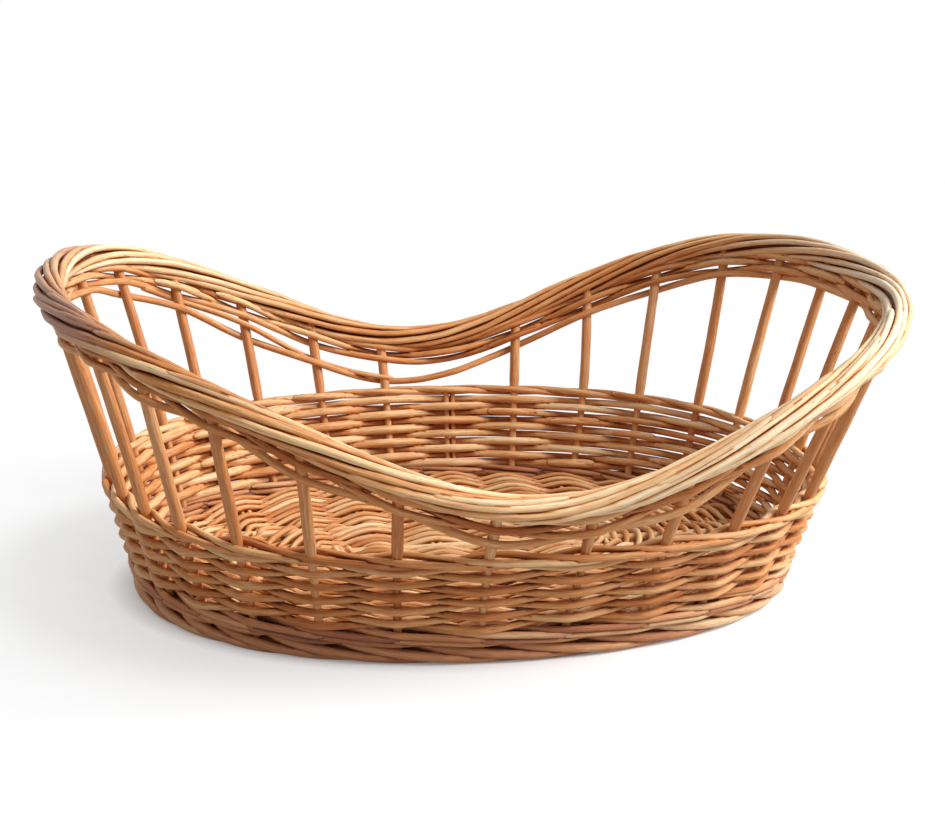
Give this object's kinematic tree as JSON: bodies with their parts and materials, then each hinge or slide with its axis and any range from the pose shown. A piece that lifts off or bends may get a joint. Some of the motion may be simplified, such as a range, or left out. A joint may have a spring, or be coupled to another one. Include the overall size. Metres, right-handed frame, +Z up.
{
  "type": "willow gift basket",
  "caption": "Oval boat-shaped willow basket: a woven tray on a twisted foot, open upright stakes and a thick twisted rim that sweeps up at both ends.",
  "frame": {"origin": "on the ground under the middle of the basket, at the bottom centre of its box", "axes": "+X along the basket's length towards one raised end, +Y across it towards the back, +Z up"},
  "size_m": [0.424, 0.2906, 0.1583],
  "materials": {
    "willow_foot": "satin, natural bark-free willow",
    "willow_base": "satin, pale willow",
    "willow_stake": "satin, buff willow",
    "willow_weaver": "satin, buff willow",
    "willow_border": "satin, buff willow"
  },
  "bodies": {
    "root": {"foot_rod_01": "willow_foot", "foot_rod_02": "willow_foot", "foot_rod_03": "willow_foot", "base_stick_01": "willow_base", "base_stick_02": "willow_base", "base_stick_03": "willow_base", "base_weave": "willow_base", "stake_01": "willow_stake", "stake_02": "willow_stake", "stake_03": "willow_stake", "stake_04": "willow_stake", "stake_05": "willow_stake", "stake_06": "willow_stake", "stake_07": "willow_stake", "stake_08": "willow_stake", "stake_09": "willow_stake", "stake_10": "willow_stake", "stake_11": "willow_stake", "stake_12": "willow_stake", "stake_13": "willow_stake", "stake_14": "willow_stake", "stake_15": "willow_stake", "stake_16": "willow_stake", "stake_17": "willow_stake", "stake_18": "willow_stake", "stake_19": "willow_stake", "stake_20": "willow_stake", "stake_21": "willow_stake", "stake_22": "willow_stake", "stake_23": "willow_stake", "stake_24": "willow_stake", "stake_25": "willow_stake", "stake_26": "willow_stake", "stake_27": "willow_stake", "stake_28": "willow_stake", "stake_29": "willow_stake", "stake_30": "willow_stake", "upsett_rod_01": "willow_weaver", "upsett_rod_02": "willow_weaver", "upsett_rod_03": "willow_weaver", "weave_row_01": "willow_weaver", "weave_row_02": "willow_weaver", "weave_row_03": "willow_weaver", "weave_row_04": "willow_weaver", "weave_row_05": "willow_weaver", "weave_row_06": "willow_weaver", "weave_row_07": "willow_weaver", "weave_row_08": "willow_weaver", "weave_row_09": "willow_weaver", "weave_row_10": "willow_weaver", "top_pair_01": "willow_weaver", "top_pair_02": "willow_weaver", "rim_loose_strand": "willow_weaver", "rim_pair_01": "willow_weaver", "rim_pair_02": "willow_weaver", "border_rod_01": "willow_border", "border_rod_02": "willow_border", "border_rod_03": "willow_border", "border_rod_04": "willow_border", "border_rod_05": "willow_border"}
  },
  "joints": []
}
